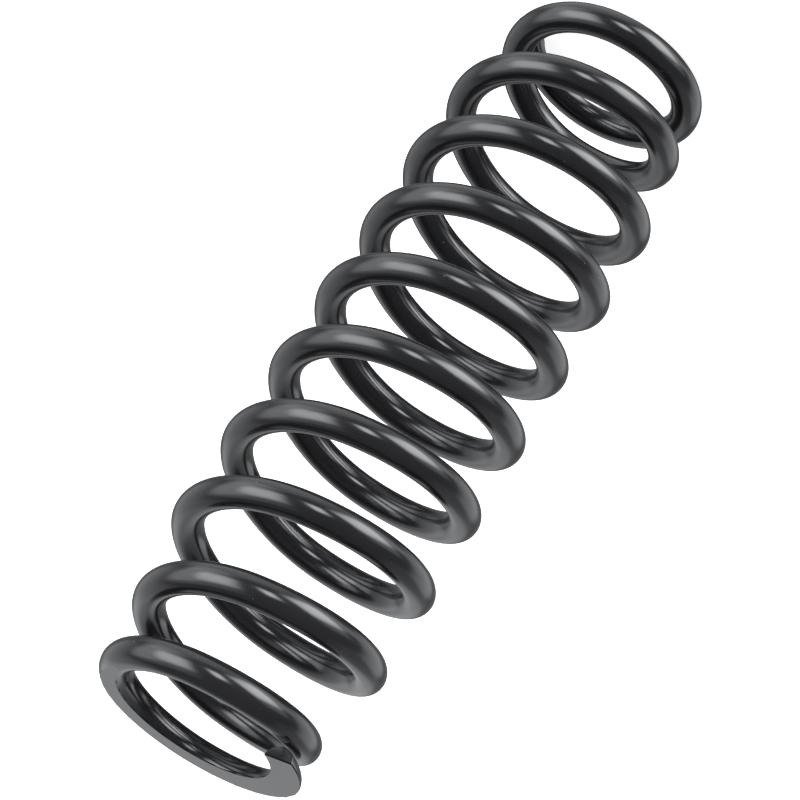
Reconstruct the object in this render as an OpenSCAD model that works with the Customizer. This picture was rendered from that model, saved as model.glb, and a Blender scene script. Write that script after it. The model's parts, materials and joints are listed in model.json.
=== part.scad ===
// Closed and ground compression spring with drawn-in end coils, standing on its lower end.
//
// The wire is a chain of flat quarter-turn arcs. Each arc is a piece of a ring, and each one is
// twisted about the wire's own centre line against the arc before it. Equal twists make a helix.
// The spring shortens when every twist gets smaller, so each joint between two arcs is a hinge
// whose axis runs along the wire. The round faces there stay flush at every length.
//
// Arcs are counted from the lower tip, from 0. Joint n lies between arc n - 1 and arc n.
// A wire frame has X away from the coil's centre, Y along the wire and Z square to the arc.

/* [Wire] */
// Diameter of the wire
wire_d = 10.5; // [8:0.1:12.6]

/* [Coils] */
// Inside diameter of the open coils
coil_bore = 63.5; // [50:0.5:80]
// Rise of the wire in one open turn
open_pitch = 30; // [24:0.5:40]
// Quarter turns of wire from tip to tip, without what the tips run on past them
quarter_turns = 42; // [34:1:52]

/* [Ends] */
// Inside diameter of the two end coils
end_bore = 51; // [42:0.5:62]
// Angle that the lower tip runs on past a whole number of quarter turns
lower_overrun = 6; // [0:1:30]
// Angle that the upper tip runs on past a whole number of quarter turns
upper_overrun = 24; // [0:1:30]
// Open space between a tip and the turn that passes it
tip_gap = 0.9; // [0.4:0.1:4]
// Thickness of wire left at each ground tip
tip_thickness = 4.4; // [3:0.1:6]

/* [Joints] */
// Gap between the faces of neighbouring lengths of wire
face_gap = 0.02; // [0.01:0.01:0.1]
// How far the side of the core that joins two arcs of an end coil stays inside the wire
core_inset = 0.5; // [0.3:0.1:2]
// Length of the core
core_length = 2; // [1:0.1:4]

/* [Hidden] */
$fn = 96;
quarter = 90;
arc_count = quarter_turns;
last = arc_count - 1;
middle = floor(arc_count / 2);
end_arcs = 4; // arcs in one end coil, which is a whole turn
coil_radius = (coil_bore + wire_d) / 2;
end_radius = (end_bore + wire_d) / 2;
core_d = wire_d - 2 * core_inset;

// The wire leaves the closed pitch over two joints, in equal shares. Two joints a quarter turn
// apart tilt the coil by the same amount in two square directions, so its axis stays upright.
opening_joint = 3;
opening_share = [0.5, 0.5];
// The arc after the opening joint is tilted by half of an open turn's tilt, about the wire's
// direction at that joint, and so it lifts the wire that passes over the tip by a share of the
// open pitch. The closed pitch lifts it by as much more as it takes to clear the tip.
function lifted_turns(overrun) = (1 - sin(overrun)) / 2 * quarter / 360;
function pitch_past(overrun) =
    (wire_d + tip_gap - open_pitch * lifted_turns(overrun)) / (1 - lifted_turns(overrun));
// The coil widens over six joints. Shares taken four at a time cancel their sideways shifts,
// so that wide and narrow coils stay on one axis: these are three such sets of four, laid
// over each other a quarter turn apart.
widening_arc = 4;
widening_share = [1, 3, 6, 9, 11, 12] / 12;

// How far an end-to-middle change has come, at a count from the nearer end
function progress(count, first, shares) =
    count < first ? 0 : count - first < len(shares) ? shares[count - first] : 1;
function from_end(arc) = min(arc, arc_count - 1 - arc);
function joint_from_end(joint) = min(joint, arc_count - joint);
function closed_pitch(count) = pitch_past(count < middle ? lower_overrun : upper_overrun);

// Radius of the coil and rise per turn at an arc
function widening(arc) = progress(from_end(arc), widening_arc, widening_share);
function radius_at(arc) = end_radius + (coil_radius - end_radius) * widening(arc);
function pitch_at(arc) = from_end(arc) > opening_joint ? open_pitch : closed_pitch(arc);

// A quarter turn of helix as one flat arc: its slope, the twist that follows it, the angle that
// it bends through, and its own radius
function rise(pitch) = pitch * quarter / 360;
function level_chord(radius) = 2 * radius * sin(quarter / 2);
function arc_slope(radius, pitch) = atan(rise(pitch) / level_chord(radius));
function arc_twist(radius, pitch) = 2 * asin(sin(quarter / 2) * sin(arc_slope(radius, pitch)));
function arc_bend(radius, pitch) =
    2 * asin(sin(quarter / 2) * cos(arc_slope(radius, pitch)) / cos(arc_twist(radius, pitch) / 2));
function arc_radius(radius, pitch) =
    norm([level_chord(radius), rise(pitch)]) / (2 * sin(arc_bend(radius, pitch) / 2));

function overrun_at(arc) = arc == 0 ? lower_overrun : arc == last ? upper_overrun : 0;
function bend_of(arc) = arc_bend(radius_at(arc), pitch_at(arc)) + overrun_at(arc);
function radius_of(arc) = arc_radius(radius_at(arc), pitch_at(arc));

// Twist at a joint, between the twist of closed turns and that of open turns
function joint_radius(joint) = (radius_at(joint - 1) + radius_at(joint)) / 2;
function opening(joint) = progress(joint_from_end(joint), opening_joint, opening_share);
function twist_of(joint) =
    arc_twist(joint_radius(joint), closed_pitch(joint)) * (1 - opening(joint))
    + arc_twist(joint_radius(joint), open_pitch) * opening(joint);

// Rigid moves as matrices
function move(v) = [[1, 0, 0, v.x], [0, 1, 0, v.y], [0, 0, 1, v.z], [0, 0, 0, 1]];
function turn_x(a) = [[1, 0, 0, 0], [0, cos(a), -sin(a), 0], [0, sin(a), cos(a), 0], [0, 0, 0, 1]];
function turn_y(a) = [[cos(a), 0, sin(a), 0], [0, 1, 0, 0], [-sin(a), 0, cos(a), 0], [0, 0, 0, 1]];
function turn_z(a) = [[cos(a), -sin(a), 0, 0], [sin(a), cos(a), 0, 0], [0, 0, 1, 0], [0, 0, 0, 1]];
function column(m, c) = [m[0][c], m[1][c], m[2][c]];
function undo(m) = [for (c = [0:2]) concat(column(m, c), -column(m, c) * column(m, 3))];
function inverse(m) = concat(undo(m), [[0, 0, 0, 1]]);

// From an arc's first frame to its far end, and on to the first frame of the next arc
function along(arc) = move([-radius_of(arc), 0, 0]) * turn_z(bend_of(arc)) * move([radius_of(arc), 0, 0]);
function onward(arc) = along(arc) * turn_y(twist_of(arc + 1));

// The chain laid from the lower tip, and then moved so that its middle joint is on the spring's
// own helix about Z. A joint's own frame is half of its twist away from the arc's first frame.
chain = [
    for (arc = 0, frame = move([0, 0, 0]); arc < arc_count; frame = frame * onward(arc), arc = arc + 1)
        frame
];
half_twist = twist_of(middle) / 2;
joint_slope = atan(sin(half_twist) / tan(arc_bend(coil_radius, open_pitch) / 2));
middle_place = turn_z(middle * quarter) * move([coil_radius, 0, 0]) * turn_x(joint_slope) * turn_y(half_twist);
onto_axis = middle_place * inverse(chain[middle]);

// Height of the wire's centre at each tip, and the grinding planes that leave the stated thickness
ground_depth = tip_thickness - wire_d / 2;
lower_tip_z = column(onto_axis * chain[0], 3).z;
upper_tip_z = column(onto_axis * chain[last] * along(last), 3).z;
free_length = upper_tip_z - lower_tip_z + 2 * ground_depth;
place = [for (arc = [0:last]) move([0, 0, ground_depth - lower_tip_z]) * onto_axis * chain[arc]];

// The first and last arc of each moving length belong to whole coils
first_moving = end_arcs;
last_moving = arc_count - end_arcs - 1;
function coil_name(arc) = str("coil_", floor(arc / 4) + 1, "_quarter_", arc % 4 + 1);

// One arc of wire, with so much taken off its first and its far face
module wire(arc, first_cut, far_cut) {
    first_angle = first_cut / radius_of(arc) * 180 / PI;
    far_angle = far_cut / radius_of(arc) * 180 / PI;
    multmatrix(place[arc])
        translate([-radius_of(arc), 0, 0])
            rotate([0, 0, first_angle])
                rotate_extrude(angle = bend_of(arc) - first_angle - far_angle)
                    translate([radius_of(arc), 0])
                        circle(d = wire_d);
}

// Everything outside the two grinding planes
module beyond_ends() {
    reach = 2 * coil_bore;
    for (z = [-reach, free_length])
        translate([-reach / 2, -reach / 2, z])
            cube(reach);
}

// The core at the first face of an arc
module core(arc)
    multmatrix(place[arc])
        rotate([90, 0, 0])
            cylinder(d = core_d, h = core_length, center = true);

// A whole end coil in one piece, with its tip at one end and a joint face at the other
module end_coil(from, to)
    color([0.03, 0.035, 0.04])
        difference() {
            union() {
                for (arc = [from:to])
                    wire(arc, arc == 0 ? 0 : face_gap / 2, arc == last ? 0 : face_gap / 2);
                for (arc = [from + 1:to])
                    core(arc);
            }
            beyond_ends();
        }

module lower_end_coil() end_coil(0, end_arcs - 1);
module upper_end_coil() end_coil(arc_count - end_arcs, last);

module quarter_coil(arc)
    color([0.03, 0.035, 0.04])
        wire(arc, face_gap / 2, face_gap / 2);

lower_end_coil();
for (arc = [first_moving:last_moving])
    quarter_coil(arc);
upper_end_coil();
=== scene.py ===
# %% [markdown]
# A black coil spring, built and painted in Blender
#
# A coil spring is one steel rod, wound into a helix. Both ends of this one are closed: the last
# coil lies close to the one before it, is drawn in to a smaller diameter, and is ground flat so
# that the spring stands square. The whole spring is then coated in gloss black.
#
# The design already exists as a frame of flat quarter turns that twist against each other, which
# is how the spring is able to shorten. This script wraps that frame in a smooth wire, grinds the
# ends, and makes the paint. The frame is loaded first, and its box is kept to compare with later.

# %% Load the frame
import json
import math

import bmesh
import bpy
from mathutils import Matrix, Vector


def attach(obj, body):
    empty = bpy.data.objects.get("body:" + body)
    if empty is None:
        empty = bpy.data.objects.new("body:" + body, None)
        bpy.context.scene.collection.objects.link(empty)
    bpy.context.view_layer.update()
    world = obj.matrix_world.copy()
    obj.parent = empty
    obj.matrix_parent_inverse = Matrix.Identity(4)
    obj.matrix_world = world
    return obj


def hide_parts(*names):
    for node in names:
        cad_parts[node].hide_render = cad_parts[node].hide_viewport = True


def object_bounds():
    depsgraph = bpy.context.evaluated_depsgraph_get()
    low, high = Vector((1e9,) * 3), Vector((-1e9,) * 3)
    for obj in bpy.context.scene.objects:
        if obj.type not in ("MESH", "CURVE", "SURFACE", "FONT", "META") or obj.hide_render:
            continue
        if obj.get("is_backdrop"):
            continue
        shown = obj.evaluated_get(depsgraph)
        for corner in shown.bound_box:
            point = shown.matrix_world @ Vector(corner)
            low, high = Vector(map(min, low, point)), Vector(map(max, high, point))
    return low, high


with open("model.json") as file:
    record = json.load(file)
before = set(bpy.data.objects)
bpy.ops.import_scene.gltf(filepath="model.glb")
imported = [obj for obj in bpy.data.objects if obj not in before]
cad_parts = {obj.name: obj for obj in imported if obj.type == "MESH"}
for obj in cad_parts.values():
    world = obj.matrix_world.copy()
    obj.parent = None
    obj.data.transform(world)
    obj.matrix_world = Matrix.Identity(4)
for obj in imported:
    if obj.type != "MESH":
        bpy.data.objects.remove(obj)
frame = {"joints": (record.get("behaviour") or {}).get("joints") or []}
cad_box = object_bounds()
MM = 0.001

# %% [markdown]
# The few sizes that drive a spring
#
# A spring maker needs only a handful of numbers: how thick the wire is, how wide the coils are
# inside, how far they rise in each turn, and how the ends are finished. Everything else below is
# worked out from these, so they are the only sizes typed in. They are the frame's own sizes, and
# the next cells work out how far the wire's joints lie from the frame's hinges.

# %% Sizes
WIRE = 10.5 * MM
COIL_BORE = 63.5 * MM
END_BORE = 51 * MM
OPEN_PITCH = 30 * MM
ARCS = 42  # quarter turns from tip to tip
END_ARCS = 4  # quarter turns in each closed end coil
LOWER_OVERRUN = math.radians(6)  # the tips run on a little past a whole quarter turn
UPPER_OVERRUN = math.radians(24)
TIP_GAP = 0.9 * MM
TIP_THICKNESS = 4.4 * MM

QUARTER = math.pi / 2
WIRE_RADIUS = WIRE / 2
COIL_RADIUS = (COIL_BORE + WIRE) / 2
END_RADIUS = (END_BORE + WIRE) / 2
LAST = ARCS - 1
print(f"wire {WIRE / MM:.1f} mm on a mean coil radius of {COIL_RADIUS / MM:.2f} mm")

# %% [markdown]
# One quarter turn of a helix as a flat arc
#
# A helix is never flat, so it cannot be made by spinning a ring about one axis. A short stretch
# of it can: a quarter turn of this spring is almost a flat arc, tipped up by the slope of the
# coil. If each arc is then twisted a little about the wire's own centre line before the next one
# starts, the chain climbs exactly like the helix. These four functions give the slope, the
# twist, the angle that an arc bends through, and its radius.

# %% Arc formulas


def level_chord(radius):
    return 2 * radius * math.sin(QUARTER / 2)


def arc_slope(radius, pitch):
    return math.atan2(pitch / 4, level_chord(radius))


def arc_twist(radius, pitch):
    return 2 * math.asin(math.sin(QUARTER / 2) * math.sin(arc_slope(radius, pitch)))


def arc_bend(radius, pitch):
    share = math.cos(arc_slope(radius, pitch)) / math.cos(arc_twist(radius, pitch) / 2)
    return 2 * math.asin(math.sin(QUARTER / 2) * share)


def arc_radius(radius, pitch):
    return math.hypot(level_chord(radius), pitch / 4) / (2 * math.sin(arc_bend(radius, pitch) / 2))


open_twist = arc_twist(COIL_RADIUS, OPEN_PITCH)
print(f"an open coil twists {math.degrees(open_twist):.2f} degrees at every quarter turn")

# %% [markdown]
# From closed ends to open coils
#
# At both ends the coils lie close together, with only enough rise for the wire to pass its own
# tip. Over two joints the twist grows to that of the open coils, and over the next six arcs the
# coils widen. Changing in small shares keeps every coil on one axis, as a winding machine does.

# %% Pitch and width along the wire
OPENING_JOINT = 3
OPENING_SHARE = [0.5, 0.5]
WIDENING_ARC = 4
WIDENING_SHARE = [step / 12 for step in (1, 3, 6, 9, 11, 12)]


def progress(count, first, shares):
    if count < first:
        return 0.0
    return shares[count - first] if count - first < len(shares) else 1.0


def closed_pitch(count):
    overrun = LOWER_OVERRUN if count < ARCS // 2 else UPPER_OVERRUN
    lifted = (1 - math.sin(overrun)) / 8  # turns' worth of open pitch that lift the wire at the tip
    return (WIRE + TIP_GAP - OPEN_PITCH * lifted) / (1 - lifted)


def radius_at(arc):
    widening = progress(min(arc, LAST - arc), WIDENING_ARC, WIDENING_SHARE)
    return END_RADIUS + (COIL_RADIUS - END_RADIUS) * widening


def pitch_at(arc):
    return OPEN_PITCH if min(arc, LAST - arc) > OPENING_JOINT else closed_pitch(arc)


def bend_of(arc):
    overrun = {0: LOWER_OVERRUN, LAST: UPPER_OVERRUN}.get(arc, 0.0)
    return arc_bend(radius_at(arc), pitch_at(arc)) + overrun


def radius_of(arc):
    return arc_radius(radius_at(arc), pitch_at(arc))


def twist_of(joint):
    radius = (radius_at(joint - 1) + radius_at(joint)) / 2
    opening = progress(min(joint, ARCS - joint), OPENING_JOINT, OPENING_SHARE)
    closed = arc_twist(radius, closed_pitch(joint))
    return closed + (arc_twist(radius, OPEN_PITCH) - closed) * opening


print(f"closed pitch {closed_pitch(0) / MM:.2f} mm below, {closed_pitch(LAST) / MM:.2f} mm above")

# %% [markdown]
# Laying the chain
#
# Each arc has a frame at its first end: X points away from the coil's centre, Y runs along the
# wire. The chain is laid arc by arc from the lower tip, then moved as a whole so that its middle
# sits on the spring's axis, and lifted so that the lower grinding plane is at height zero.
# Matrices in Blender multiply from left to right, which reads like the order of the moves.

# %% Place every arc


def turn_about_centre(arc, angle):
    reach = Matrix.Translation((radius_of(arc), 0, 0))
    return reach.inverted() @ Matrix.Rotation(angle, 4, "Z") @ reach


def to_far_end(arc):
    return turn_about_centre(arc, bend_of(arc))


chain = [Matrix.Identity(4)]
for arc in range(LAST):
    chain.append(chain[-1] @ to_far_end(arc) @ Matrix.Rotation(twist_of(arc + 1), 4, "Y"))

middle = ARCS // 2
half_twist = twist_of(middle) / 2
slope = math.atan2(math.sin(half_twist), math.tan(arc_bend(COIL_RADIUS, OPEN_PITCH) / 2))
on_helix = (
    Matrix.Rotation(middle * QUARTER, 4, "Z")
    @ Matrix.Translation((COIL_RADIUS, 0, 0))
    @ Matrix.Rotation(slope, 4, "X")
    @ Matrix.Rotation(half_twist, 4, "Y")
)
onto_axis = on_helix @ chain[middle].inverted()
ground_depth = TIP_THICKNESS - WIRE_RADIUS
lower_tip = (onto_axis @ chain[0]).translation.z
upper_tip = (onto_axis @ chain[LAST] @ to_far_end(LAST)).translation.z
free_length = upper_tip - lower_tip + 2 * ground_depth
lift = Matrix.Translation((0, 0, ground_depth - lower_tip))
place = [lift @ onto_axis @ link for link in chain]
print(f"free length {free_length / MM:.2f} mm, the frame's is {cad_box[1].z / MM:.2f} mm")

# %% [markdown]
# Does the chain agree with the frame?
#
# The frame's hinges sit on the wire's centre line where two arcs meet, so they are a ready-made
# test. The largest distance from a hinge to its joint in the chain is worked out here; a
# difference of a few thousandths of a millimetre would be only rounding.

# %% Compare with the hinges
worst = 0.0
for number, joint in enumerate(frame["joints"], start=END_ARCS):
    worst = max(worst, (place[number].translation - Vector(joint["pos_m"])).length)

# %% [markdown]
# Which arcs make which piece
#
# Every piece of the wire that moves on its own is one quarter turn. The closed end coils do not
# flex, so each is one piece of four quarters.

# %% Name the pieces


def coil_name(arc):
    return f"coil_{arc // 4 + 1}_quarter_{arc % 4 + 1}"


piece_arcs = {"lower_end_coil": list(range(END_ARCS))}
for arc in range(END_ARCS, ARCS - END_ARCS):
    piece_arcs[coil_name(arc)] = [arc]
piece_arcs["upper_end_coil"] = list(range(ARCS - END_ARCS, ARCS))
print(len(piece_arcs), "pieces")

# %% [markdown]
# Winding a stretch of wire
#
# A round wire bent in a flat arc is exactly what the spin operator makes: a ring is carried
# about the centre of the arc in small steps. For the next arc the spin goes on from the ring
# where the last one stopped, about a new centre, so a whole end coil is one unbroken tube.
#
# All rings have the same number of sides, and each piece starts its ring turned back by all the
# twists before it. So the last ring of one piece and the first ring of the next have their
# corners in line, and the joint between them does not show. Their faces stay 0.02 mm apart, as
# in the frame: too little to be seen, and enough that they can turn without touching.
#
# A layer on the faces remembers which arc they belong to, for the shading later on.

# %% Wind the wire
SIDES = 72
STEPS = 30
FACE_GAP = 0.02 * MM
CAP, FLAT, EDGE = -1, -2, -3  # marks for the faces that are not on the round of the wire

roll = [0.0]
for joint in range(1, ARCS):
    roll.append(roll[-1] - twist_of(joint))


def gap_angle(arc, at_tip):
    return 0.0 if at_tip else FACE_GAP / 2 / radius_of(arc)


def wind_wire(arcs):
    bm = bmesh.new()
    mark = bm.faces.layers.int.new("mark")
    first, last = arcs[0], arcs[-1]
    start = gap_angle(first, first == 0)
    stop = gap_angle(last, last == LAST)
    facing = Matrix.Rotation(roll[first], 4, "Y") @ Matrix.Rotation(QUARTER, 4, "X")
    ring_place = place[first] @ turn_about_centre(first, start) @ facing
    ring = bmesh.ops.create_circle(
        bm, cap_ends=True, radius=WIRE_RADIUS, segments=SIDES, matrix=ring_place
    )["verts"]
    for face in bm.faces:
        face[mark] = CAP
    edges = list(bm.edges)
    geometry = ring + edges
    for arc in arcs:
        old = set(bm.faces)
        centre = place[arc] @ Vector((-radius_of(arc), 0, 0))
        axis = place[arc].to_3x3() @ Vector((0, 0, 1))
        angle = bend_of(arc) - start * (arc == first) - stop * (arc == last)
        spun = bmesh.ops.spin(bm, geom=geometry, cent=centre, axis=axis, angle=angle, steps=STEPS)
        geometry = spun["geom_last"]
        for face in set(bm.faces) - old:
            face[mark] = arc
    last_edges = [item for item in geometry if isinstance(item, bmesh.types.BMEdge)]
    for face in bmesh.ops.contextual_create(bm, geom=last_edges)["faces"]:
        face[mark] = CAP
    return bm, mark


trial, _ = wind_wire([END_ARCS])
print(len(trial.faces), "faces in a quarter turn")
trial.free()

# %% [markdown]
# Grinding an end flat
#
# The end of a wound spring is pressed against a grinding wheel, which takes the wire down to a
# flat that starts at the tip and thins out after about two thirds of a turn. Here a bisect does
# the grinding: it cuts the tube at the plane, throws away what lies outside, and the open loop
# that is left is filled with one flat face.
#
# Corners that the wheel leaves are knocked off before painting, and paint rounds them further.
# So the sharp edges get a small bevel. Where the flat runs out, it meets the round of the wire
# at almost no angle, and an edge there is left as it is. The bevel can lift a corner there a few
# hundredths of a millimetre past the ground plane, so such corners are set back onto it.

# %% Grind and break the edges
EDGE_BREAK = 0.36 * MM
SHARP = math.radians(24)  # edges that turn by more than this are broken
WELD = 0.12 * MM  # corners of the cut that lie closer than this become one


def grind(bm, mark, height, outward):
    cut = bmesh.ops.bisect_plane(
        bm,
        geom=bm.verts[:] + bm.edges[:] + bm.faces[:],
        dist=1e-7,
        plane_co=(0, 0, height),
        plane_no=(0, 0, outward),
        clear_outer=True,
    )["geom_cut"]
    cut_verts = [item for item in cut if isinstance(item, bmesh.types.BMVert)]
    bmesh.ops.remove_doubles(bm, verts=cut_verts, dist=WELD)
    rim = [edge for edge in bm.edges if edge.is_boundary]
    for face in bmesh.ops.contextual_create(bm, geom=rim)["faces"]:
        face[mark] = FLAT
    bmesh.ops.recalc_face_normals(bm, faces=bm.faces[:])


def break_edges(bm, mark, height, outward, keep_near):
    """Bevels the sharp edges, apart from those near the ring where the next piece joins on."""
    chosen = []
    for edge in bm.edges:
        if len(edge.link_faces) != 2 or edge.calc_face_angle(0.0) < SHARP:
            continue
        middle_point = (edge.verts[0].co + edge.verts[1].co) / 2
        if (middle_point - keep_near).length > WIRE:
            chosen.append(edge)
    made = bmesh.ops.bevel(
        bm,
        geom=chosen,
        offset=EDGE_BREAK,
        offset_type="OFFSET",
        segments=3,
        profile=0.5,
        affect="EDGES",
        clamp_overlap=False,
        material=-1,
    )["faces"]
    for face in made:
        face[mark] = EDGE
    for vert in bm.verts:
        if (vert.co.z - height) * outward > 0:
            vert.co.z = height


# %% [markdown]
# Shading a tube as if it were perfectly round
#
# Blender smooths a mesh by averaging the normals of its faces. At the end of a piece there is
# nothing on the other side to average with, so gloss paint would show a faint line at every
# joint. The true normal of the wire is known at every point: it points straight away from the
# wire's centre line. So it is worked out and stored in the mesh.

# %% True normals


def round_normal(arc, point):
    to_arc = place[arc].inverted()
    local = to_arc @ point + Vector((radius_of(arc), 0, 0))
    spoke = Vector((local.x, local.y, 0)).normalized() * radius_of(arc)
    return (place[arc].to_3x3() @ (local - spoke)).normalized()


def corner_normals(bm, mark):
    normals = []
    for face in bm.faces:
        kind = face[mark]
        for corner in face.loops:
            if kind >= 0:
                normals.append(round_normal(kind, corner.vert.co))
                continue
            if kind == EDGE:
                around = [near for near in corner.vert.link_faces if near[mark] != EDGE]
                rounds = [near for near in around if near[mark] >= 0]
                if rounds:
                    normals.append(round_normal(rounds[0][mark], corner.vert.co))
                elif around:
                    normals.append(around[0].normal.copy())
                else:
                    normals.append(corner.vert.normal.copy())
                continue
            normals.append(face.normal.copy())
    return normals


# %% [markdown]
# Coordinates that run along the wire
#
# Steel wire is drawn through a die, and what marks it has runs along it. For the paint to show
# that, each corner gets a coordinate pair in metres: the distance along the wire from the lower
# tip, and the distance round it. A second layer says how much a corner belongs to a ground flat.

# %% Wire coordinates
arc_start = [0.0]
for arc in range(ARCS):
    arc_start.append(arc_start[-1] + radius_of(arc) * bend_of(arc))


def wire_coordinates(arc, point):
    local = place[arc].inverted() @ point + Vector((radius_of(arc), 0, 0))
    along = math.atan2(local.y, local.x) * radius_of(arc)
    out = math.hypot(local.x, local.y) - radius_of(arc)
    around = (math.atan2(local.z, out) + roll[arc]) * WIRE_RADIUS
    return arc_start[arc] + along, around


def add_coordinates(bm, mark, arcs):
    layer = bm.loops.layers.uv.new("wire")
    ground = bm.loops.layers.float.new("ground")
    seam = math.pi * WIRE_RADIUS
    for face in bm.faces:
        arc = face[mark]
        if arc < 0:
            centre = face.calc_center_median()
            arc = min(arcs, key=lambda a: (place[a].translation - centre).length)
        pairs = [wire_coordinates(arc, corner.vert.co) for corner in face.loops]
        first = pairs[0][1]
        for corner, (along, around) in zip(face.loops, pairs):
            if around - first > seam:
                around -= 2 * seam
            if first - around > seam:
                around += 2 * seam
            corner[layer].uv = (along, around)
            corner[ground] = 1.0 if face[mark] == FLAT else 0.0


print(f"the wire is {arc_start[-1] / MM:.0f} mm long from tip to tip")

# %% [markdown]
# The paint
#
# Springs like this one are cleaned, powder coated and baked. Powder melts into a glossy film
# that is never quite level: it has a fine unevenness called orange peel. Under it, the ground
# faces keep a trace of the wheel's marks, and handling leaves hair-fine scratches along the
# wire and some specks of dust. Each effect is a node group with named sockets, so that it can be
# read and set by itself, and the Principled shader stays in the material.

# %% Node helpers


def new_group(name, inputs, outputs):
    group = bpy.data.node_groups.new(name, "ShaderNodeTree")
    for socket, kind, value in inputs:
        made = group.interface.new_socket(socket, in_out="INPUT", socket_type=kind)
        if value is not None:
            made.default_value = value
    for socket, kind in outputs:
        group.interface.new_socket(socket, in_out="OUTPUT", socket_type=kind)
    return group, group.nodes.new("NodeGroupInput"), group.nodes.new("NodeGroupOutput")


def maths(tree, operation, first, second):
    node = tree.nodes.new("ShaderNodeMath")
    node.operation = operation
    for socket, value in zip(node.inputs, (first, second)):
        if isinstance(value, (int, float)):
            socket.default_value = value
        else:
            tree.links.new(value, socket)
    return node.outputs[0]


def noise(tree, vector, scale, detail):
    node = tree.nodes.new("ShaderNodeTexNoise")
    node.inputs["Scale"].default_value = scale
    node.inputs["Detail"].default_value = detail
    node.inputs["Roughness"].default_value = 0.5
    tree.links.new(vector, node.inputs["Vector"])
    return node.outputs["Fac"]


def stretched(tree, vector, scale):
    node = tree.nodes.new("ShaderNodeMapping")
    node.inputs["Scale"].default_value = scale
    tree.links.new(vector, node.inputs["Vector"])
    return node.outputs["Vector"]


def between(tree, value, low, high):
    node = tree.nodes.new("ShaderNodeMapRange")
    node.interpolation_type = "SMOOTHSTEP"
    node.inputs["From Min"].default_value = low
    node.inputs["From Max"].default_value = high
    tree.links.new(value, node.inputs["Value"])
    return node.outputs["Result"]


# %% Orange peel group
BROAD_BUMPS = 260.0  # per metre, like the other scales here
FINE_BUMPS = 1100.0
DRIFT_PATCHES = 38.0

orange_peel, enter, leave = new_group(
    "orange_peel",
    [("Position", "NodeSocketVector", None), ("Fine", "NodeSocketFloat", 0.35)],
    [("Height", "NodeSocketFloat"), ("Drift", "NodeSocketFloat")],
)
broad = noise(orange_peel, enter.outputs["Position"], BROAD_BUMPS, 1.0)
fine = noise(orange_peel, enter.outputs["Position"], FINE_BUMPS, 1.0)
slow = noise(orange_peel, enter.outputs["Position"], DRIFT_PATCHES, 3.0)
fine_share = maths(orange_peel, "MULTIPLY", fine, enter.outputs["Fine"])
orange_peel.links.new(maths(orange_peel, "ADD", broad, fine_share), leave.inputs["Height"])
orange_peel.links.new(slow, leave.inputs["Drift"])
print(f"orange peel: bumps of about {1000 / BROAD_BUMPS:.1f} mm and {1000 / FINE_BUMPS:.1f} mm")

# %% Handling marks group
HAIRS = (60, 5200, 1)  # along the wire and round it, per metre
HAIR_PATCHES = (55, 180, 1)

handling_marks, enter, leave = new_group(
    "handling_marks",
    [("Along Wire", "NodeSocketVector", None), ("Amount", "NodeSocketFloat", 0.3)],
    [("Scratches", "NodeSocketFloat")],
)
along_wire = enter.outputs["Along Wire"]
hairs = noise(handling_marks, stretched(handling_marks, along_wire, HAIRS), 1.0, 2.0)
where = noise(handling_marks, stretched(handling_marks, along_wire, HAIR_PATCHES), 1.0, 2.0)
hair_mask = between(handling_marks, hairs, 0.66, 0.74)
place_mask = between(handling_marks, where, 0.52, 0.66)
scratches = maths(handling_marks, "MULTIPLY", hair_mask, place_mask)
handling_marks.links.new(
    maths(handling_marks, "MULTIPLY", scratches, enter.outputs["Amount"]), leave.inputs["Scratches"]
)
print(f"handling marks: hairs about {1000 / HAIRS[1]:.1f} mm wide and {1000 / HAIRS[0]:.0f} mm long")

# %% Dust group
SPECK_CELLS = 520.0  # per metre, with a speck in the middle of a cell
SPECK_CORE = 0.06  # in cells: a speck is solid this far from its centre
SPECK_EDGE = 0.13  # and has faded out this far from it
DUSTY_PATCHES = 140.0

dust, enter, leave = new_group(
    "dust",
    [("Position", "NodeSocketVector", None), ("Amount", "NodeSocketFloat", 0.5)],
    [("Specks", "NodeSocketFloat")],
)
cells = dust.nodes.new("ShaderNodeTexVoronoi")
cells.inputs["Scale"].default_value = SPECK_CELLS
dust.links.new(enter.outputs["Position"], cells.inputs["Vector"])
near_centre = between(dust, cells.outputs["Distance"], SPECK_EDGE, SPECK_CORE)
rare = noise(dust, enter.outputs["Position"], DUSTY_PATCHES, 2.0)
speck = maths(dust, "MULTIPLY", near_centre, between(dust, rare, 0.60, 0.68))
dust.links.new(maths(dust, "MULTIPLY", speck, enter.outputs["Amount"]), leave.inputs["Specks"])
print(f"dust: specks up to {2000 * SPECK_EDGE / SPECK_CELLS:.1f} mm across, in patches")

# %% [markdown]
# Gloss black
#
# Black paint is a dark base under a clear gloss. What is seen of it is almost only reflections:
# the base gives less than one percent of the light back, with a slightly cool tinge, and the
# surface gives the rest. So the bump and the roughness matter more here than the colour. The
# ground faces are duller, because the coat is thin there and the wheel's marks show through.
# Their base is a little greyer too. That grey is partly the thin coat and partly a painted
# reflection of the pale room, which a flat face mirrors evenly.

# %% Material
DARKEST = (0.0050, 0.0051, 0.0056, 1)
LIGHTEST = (0.0072, 0.0073, 0.0080, 1)
DUST_GREY = (0.16, 0.165, 0.17, 1)
# grey base of the ground faces: partly their thin dull coat, partly a painted reflection of the pale
# room
GROUND_COAT_AND_REFLECTION_GREY = (0.031, 0.0305, 0.032, 1)
WHEEL_RINGS = 3800  # per metre
PEEL_DEPTH = 0.012 * MM


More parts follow.
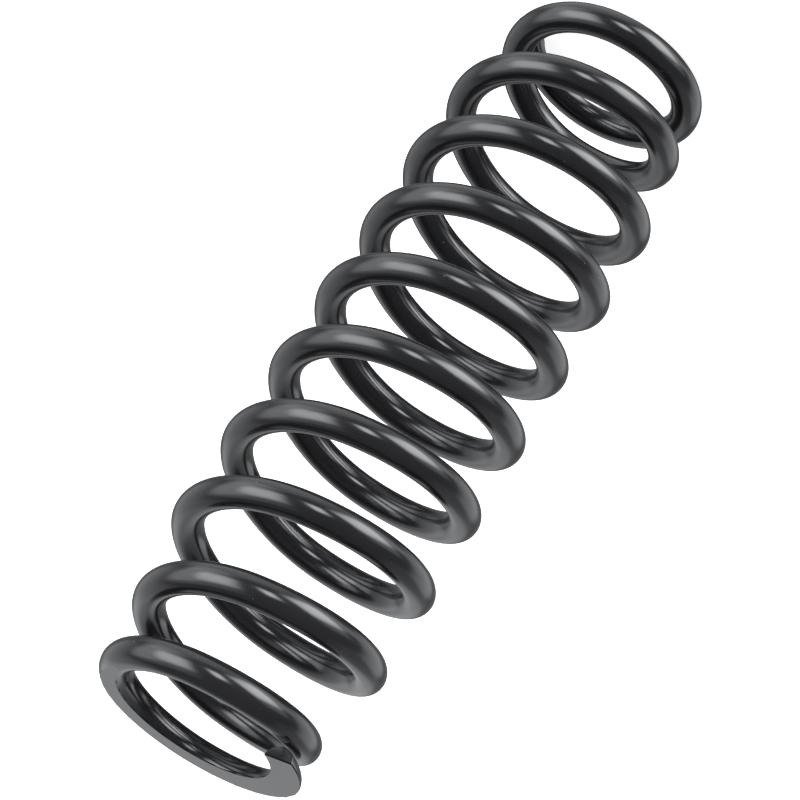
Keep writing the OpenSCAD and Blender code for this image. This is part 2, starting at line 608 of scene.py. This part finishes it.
def black_paint_material():
    material = bpy.data.materials.new("black_paint")
    material.use_nodes = True
    tree = material.node_tree
    tree.nodes.clear()
    shader = tree.nodes.new("ShaderNodeBsdfPrincipled")
    output = tree.nodes.new("ShaderNodeOutputMaterial")
    tree.links.new(shader.outputs["BSDF"], output.inputs["Surface"])
    shader.inputs["IOR"].default_value = 1.5
    position = tree.nodes.new("ShaderNodeTexCoord").outputs["Object"]
    wire_map = tree.nodes.new("ShaderNodeUVMap")
    wire_map.uv_map = "wire"
    ground = tree.nodes.new("ShaderNodeAttribute")
    ground.attribute_name = "ground"

    peel = tree.nodes.new("ShaderNodeGroup")
    peel.node_tree = orange_peel
    peel.inputs["Fine"].default_value = 0.10
    tree.links.new(position, peel.inputs["Position"])
    marks = tree.nodes.new("ShaderNodeGroup")
    marks.node_tree = handling_marks
    marks.inputs["Amount"].default_value = 0.5
    tree.links.new(wire_map.outputs["UV"], marks.inputs["Along Wire"])
    specks = tree.nodes.new("ShaderNodeGroup")
    specks.node_tree = dust
    specks.inputs["Amount"].default_value = 0.5
    tree.links.new(position, specks.inputs["Position"])

    base = tree.nodes.new("ShaderNodeValToRGB")
    base.color_ramp.elements[0].position = 0.3
    base.color_ramp.elements[0].color = DARKEST
    base.color_ramp.elements[1].position = 0.7
    base.color_ramp.elements[1].color = LIGHTEST
    tree.links.new(peel.outputs["Drift"], base.inputs["Fac"])
    dusty = tree.nodes.new("ShaderNodeMix")
    dusty.data_type = "RGBA"
    dusty.inputs["B"].default_value = DUST_GREY
    tree.links.new(base.outputs["Color"], dusty.inputs["A"])
    tree.links.new(specks.outputs["Specks"], dusty.inputs["Factor"])
    # the ground faces get a greyer base: partly the thin coat, partly a painted reflection of the
    # pale room
    ground_coat_and_reflection = tree.nodes.new("ShaderNodeMix")
    ground_coat_and_reflection.data_type = "RGBA"
    ground_coat_and_reflection.inputs["B"].default_value = GROUND_COAT_AND_REFLECTION_GREY
    tree.links.new(dusty.outputs["Result"], ground_coat_and_reflection.inputs["A"])
    tree.links.new(ground.outputs["Fac"], ground_coat_and_reflection.inputs["Factor"])
    tree.links.new(ground_coat_and_reflection.outputs["Result"], shader.inputs["Base Color"])

    # roughness: a slow drift over the coat, a little more on hairs, dust and ground faces
    drift = maths(tree, "MULTIPLY", peel.outputs["Drift"], 0.07)
    rough = maths(tree, "ADD", drift, 0.13)
    rough = maths(tree, "ADD", rough, maths(tree, "MULTIPLY", marks.outputs["Scratches"], 0.25))
    rough = maths(tree, "ADD", rough, maths(tree, "MULTIPLY", specks.outputs["Specks"], 0.4))
    rough = maths(tree, "ADD", rough, maths(tree, "MULTIPLY", ground.outputs["Fac"], 0.12))
    tree.links.new(rough, shader.inputs["Roughness"])

    # the wheel leaves arcs on the ground faces, round the spring's axis
    axis_distance = tree.nodes.new("ShaderNodeVectorMath")
    axis_distance.operation = "LENGTH"
    tree.links.new(stretched(tree, position, (1, 1, 0)), axis_distance.inputs[0])
    rings = tree.nodes.new("ShaderNodeCombineXYZ")
    tree.links.new(axis_distance.outputs["Value"], rings.inputs["X"])
    wheel = noise(tree, stretched(tree, rings.outputs["Vector"], (WHEEL_RINGS, 1, 1)), 1.0, 2.0)
    wheel = maths(tree, "MULTIPLY", wheel, maths(tree, "MULTIPLY", ground.outputs["Fac"], 0.35))
    scratched = maths(tree, "MULTIPLY", marks.outputs["Scratches"], -0.35)
    height = maths(tree, "ADD", maths(tree, "ADD", peel.outputs["Height"], wheel), scratched)
    bump = tree.nodes.new("ShaderNodeBump")
    bump.inputs["Strength"].default_value = 0.4
    bump.inputs["Distance"].default_value = PEEL_DEPTH
    tree.links.new(height, bump.inputs["Height"])
    tree.links.new(bump.outputs["Normal"], shader.inputs["Normal"])
    return material


black_paint = black_paint_material()
print("black paint:", len(black_paint.node_tree.nodes), "nodes")

# %% [markdown]
# All the pieces
#
# Every piece is wound in the same way, and the two end coils are ground and have their edges
# broken. A piece stands for the frame's node of the same name and rides on the same body, so
# when the spring is compressed, each quarter turn follows its own hinge.

# %% Build the spring


def finish_mesh(name, bm, mark, arcs):
    bmesh.ops.recalc_face_normals(bm, faces=bm.faces[:])
    add_coordinates(bm, mark, arcs)
    for face in bm.faces:
        face.smooth = True
    normals = corner_normals(bm, mark)
    mesh = bpy.data.meshes.new(name)
    bm.to_mesh(mesh)
    bm.free()
    mesh.normals_split_custom_set(normals)
    mesh.materials.append(black_paint)
    piece = bpy.data.objects.new(name, mesh)
    bpy.context.scene.collection.objects.link(piece)
    return piece


pieces = {}
for name, arcs in piece_arcs.items():
    bm, mark = wind_wire(arcs)
    if name == "lower_end_coil":
        grind(bm, mark, 0.0, -1)
        break_edges(bm, mark, 0.0, -1, place[END_ARCS].translation)
    if name == "upper_end_coil":
        grind(bm, mark, free_length, 1)
        break_edges(bm, mark, free_length, 1, place[ARCS - END_ARCS].translation)
    piece = finish_mesh(f"wire_{name}", bm, mark, arcs)
    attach(piece, name)
    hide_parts(name)
    pieces[name] = piece
print(sum(len(piece.data.polygons) for piece in pieces.values()), "faces in", len(pieces), "pieces")

# %% [markdown]
# A pale floor
#
# The spring stands on its lower ground face, on a plain white floor that reaches far behind it.
# The floor lies a twentieth of a millimetre below the ground face, so that the two do not share
# a plane. It is kept out of glossy reflections, so that the black paint mirrors the studio's
# soft lights and not a white plane a few centimetres away. It casts no shadow, because some of
# the lights stand lower than it does.

# %% Floor
FLOOR_HALF_WIDTH = 6.0
FLOOR_GAP = 0.05 * MM
FLOOR_GLOW = 0.8

floor_bm = bmesh.new()
bmesh.ops.create_grid(floor_bm, x_segments=1, y_segments=1, size=FLOOR_HALF_WIDTH)
bmesh.ops.translate(floor_bm, verts=floor_bm.verts[:], vec=(0, 0, -FLOOR_GAP))
floor_mesh = bpy.data.meshes.new("floor")
floor_bm.to_mesh(floor_mesh)
floor_bm.free()
floor = bpy.data.objects.new("floor", floor_mesh)
bpy.context.scene.collection.objects.link(floor)
floor_paint = bpy.data.materials.new("floor_white")
floor_paint.use_nodes = True
floor_shader = floor_paint.node_tree.nodes["Principled BSDF"]
floor_shader.inputs["Base Color"].default_value = (0.9, 0.9, 0.9, 1)
floor_shader.inputs["Roughness"].default_value = 0.9
floor_shader.inputs["Emission Color"].default_value = (1, 1, 1, 1)
floor_shader.inputs["Emission Strength"].default_value = FLOOR_GLOW
floor_mesh.materials.append(floor_paint)
floor.visible_glossy = False
floor.visible_shadow = False
floor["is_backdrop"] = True
print(f"floor: {2 * FLOOR_HALF_WIDTH:.0f} m square")

# %% [markdown]
# The camera
#
# A long lens from about 0.9 m flattens the coils into near-parallel ovals. The camera looks down
# at the spring and is rolled over, so that the spring lies across the frame with its upper end
# at the lower left. Its directions are written as three unit vectors: right, up and back.

# %% Camera
LENS = 114.4
SENSOR_WIDTH = 36.0
CAMERA_AT = Vector((-0.15026, -0.72372, 0.49245))
RIGHT = Vector((-0.87486, -0.04589, -0.48220))
UP = Vector((0.44764, -0.45689, -0.76868))
BACK = Vector((-0.18503, -0.88834, 0.42026))

camera_data = bpy.data.cameras.new("camera")
camera_data.lens = LENS
camera_data.sensor_width = SENSOR_WIDTH
camera_data.clip_start = 0.05
camera_data.clip_end = 60.0
camera = bpy.data.objects.new("camera", camera_data)
facing = Matrix((RIGHT, UP, BACK)).transposed().to_4x4()
camera.matrix_world = Matrix.Translation(CAMERA_AT) @ facing
bpy.context.scene.collection.objects.link(camera)
bpy.context.scene.camera = camera
print(f"camera {CAMERA_AT.length:.2f} m from the spring's foot")

# %% [markdown]
# Soft studio light
#
# Gloss black shows the lights themselves. Two large soft boxes stand to the left and the right
# behind the camera, with a small lamp between them, and these give the bright stripes. Dimmer
# glows beside them, and panels above, below and behind the spring as the camera sees it, stand
# for the rest of a pale room and keep the wire from going dead black. Every one is brightest in
# its middle and fades to nothing at its edges, like a lamp behind cloth, so no stripe has a
# hard end.
#
# Each is placed by the direction in which it stands from the middle of the spring, as seen from
# the camera, and by the angle that it fills.

# %% Soft boxes
SPRING_MIDDLE = Vector((0, 0, free_length / 2))
BOX_DISTANCE = 3.0
COOL = (0.96, 0.977, 1.0)


def towards(sideways, upwards):
    """The direction at these angles from the camera's own, to the right and upwards in its view."""
    a, e = math.radians(sideways), math.radians(upwards)
    level = RIGHT * math.sin(a) + BACK * math.cos(a)
    return level * math.cos(e) + UP * math.sin(e)


def fade_out(data):
    """Makes a light strongest in the middle and nothing at its edges, like a lamp behind cloth."""
    data.use_nodes = True
    tree = data.node_tree
    split = tree.nodes.new("ShaderNodeSeparateXYZ")
    tree.links.new(tree.nodes.new("ShaderNodeNewGeometry").outputs["Parametric"], split.inputs[0])
    share = 1.0
    for side in ("X", "Y"):
        across = split.outputs[side]
        rest = maths(tree, "SUBTRACT", 1.0, across)
        arch = maths(tree, "MULTIPLY", maths(tree, "MULTIPLY", across, 4.0), rest)
        share = maths(tree, "MULTIPLY", between(tree, arch, 0.0, 1.0), share)
    tree.links.new(share, tree.nodes["Emission"].inputs["Strength"])


def soft_box(name, sideways, upwards, wide, high, brightness):
    direction = towards(sideways, upwards)
    data = bpy.data.lights.new(name, "AREA")
    data.shape = "RECTANGLE"
    data.size = 2 * BOX_DISTANCE * math.tan(math.radians(wide / 2))
    data.size_y = 2 * BOX_DISTANCE * math.tan(math.radians(high / 2))
    data.energy = brightness * data.size * data.size_y * math.pi
    data.color = COOL
    fade_out(data)
    light = bpy.data.objects.new(name, data)
    across = towards(sideways + 90, 0)
    upright = direction.cross(across).normalized()
    turn = Matrix((across, upright, direction)).transposed().to_4x4()
    light.matrix_world = Matrix.Translation(SPRING_MIDDLE + direction * BOX_DISTANCE) @ turn
    light.visible_camera = False
    bpy.context.scene.collection.objects.link(light)


# name, degrees sideways and upwards, degrees wide and high, brightness
soft_box("left_box", -47, 20, 46, 62, 7.0)
soft_box("left_glow", -77, 22, 42, 80, 2.4)
soft_box("left_high_glow", -72, 57, 60, 32, 1.5)
soft_box("left_low_glow", -60, -14, 64, 36, 0.9)
soft_box("right_box", 60, 26, 52, 56, 9.8)
soft_box("right_low_glow", 62, -4, 50, 28, 1.2)
soft_box("right_glow", 88, 30, 44, 60, 2.1)
soft_box("front_lamp", 6, 26, 20, 32, 10.6)
soft_box("top_panel", 180, 82, 80, 80, 1.2)
soft_box("back_right_panel", 118, -18, 56, 84, 1.4)
soft_box("back_left_panel", -120, -2, 58, 96, 0.8)
soft_box("low_right_panel", 135, -66, 90, 60, 0.35)
soft_box("low_left_panel", -152, -38, 60, 60, 0.65)

lights = [thing.name for thing in bpy.data.objects if thing.type == "LIGHT"]
print(len(lights), "soft lights:", ", ".join(lights))

# %% [markdown]
# A white room
#
# The floor gets a wash of light from straight above, which the paint does not mirror. Seen by
# the camera, the room behind the floor is as white as the floor, so there is no horizon. To
# everything else it is dim, because a bright room on all sides would make black paint look grey.

# %% Floor wash and room
WASH_SIZE = 4.0
WASH_HEIGHT = 3.0
WASH_WATTS = 60.0
ROOM_GLOW = 0.25

wash_data = bpy.data.lights.new("floor_wash", "AREA")
wash_data.shape = "SQUARE"
wash_data.size = WASH_SIZE
wash_data.energy = WASH_WATTS
wash = bpy.data.objects.new("floor_wash", wash_data)
wash.location = (0, 0, WASH_HEIGHT)
wash.visible_glossy = False
wash.visible_camera = False
bpy.context.scene.collection.objects.link(wash)

world = bpy.data.worlds.new("studio")
world.use_nodes = True
room = world.node_tree
dim = room.nodes["Background"]
dim.inputs["Color"].default_value = (*COOL, 1)
dim.inputs["Strength"].default_value = ROOM_GLOW
white = room.nodes.new("ShaderNodeBackground")
white.inputs["Color"].default_value = (1, 1, 1, 1)
seen = room.nodes.new("ShaderNodeMixShader")
ray = room.nodes.new("ShaderNodeLightPath")
room.links.new(ray.outputs["Is Camera Ray"], seen.inputs["Fac"])
room.links.new(dim.outputs["Background"], seen.inputs[1])
room.links.new(white.outputs["Background"], seen.inputs[2])
room.links.new(seen.outputs["Shader"], room.nodes["World Output"].inputs["Surface"])
bpy.context.scene.world = world
bpy.context.scene.view_settings.view_transform = "Standard"
print(f"floor wash of {WASH_WATTS:.0f} W, and a room at {ROOM_GLOW} of white")

# %% [markdown]
# Check the size, and finish
#
# The painted spring has to be the size of the frame. Both boxes are written down for comparison.

# %% Sizes and finish
spring_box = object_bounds()
for axis, name in enumerate("xyz"):
    cad = cad_box[1][axis] - cad_box[0][axis]
    visual = spring_box[1][axis] - spring_box[0][axis]
    print(f"{name}: frame {cad / MM:.2f} mm, spring {visual / MM:.2f} mm")
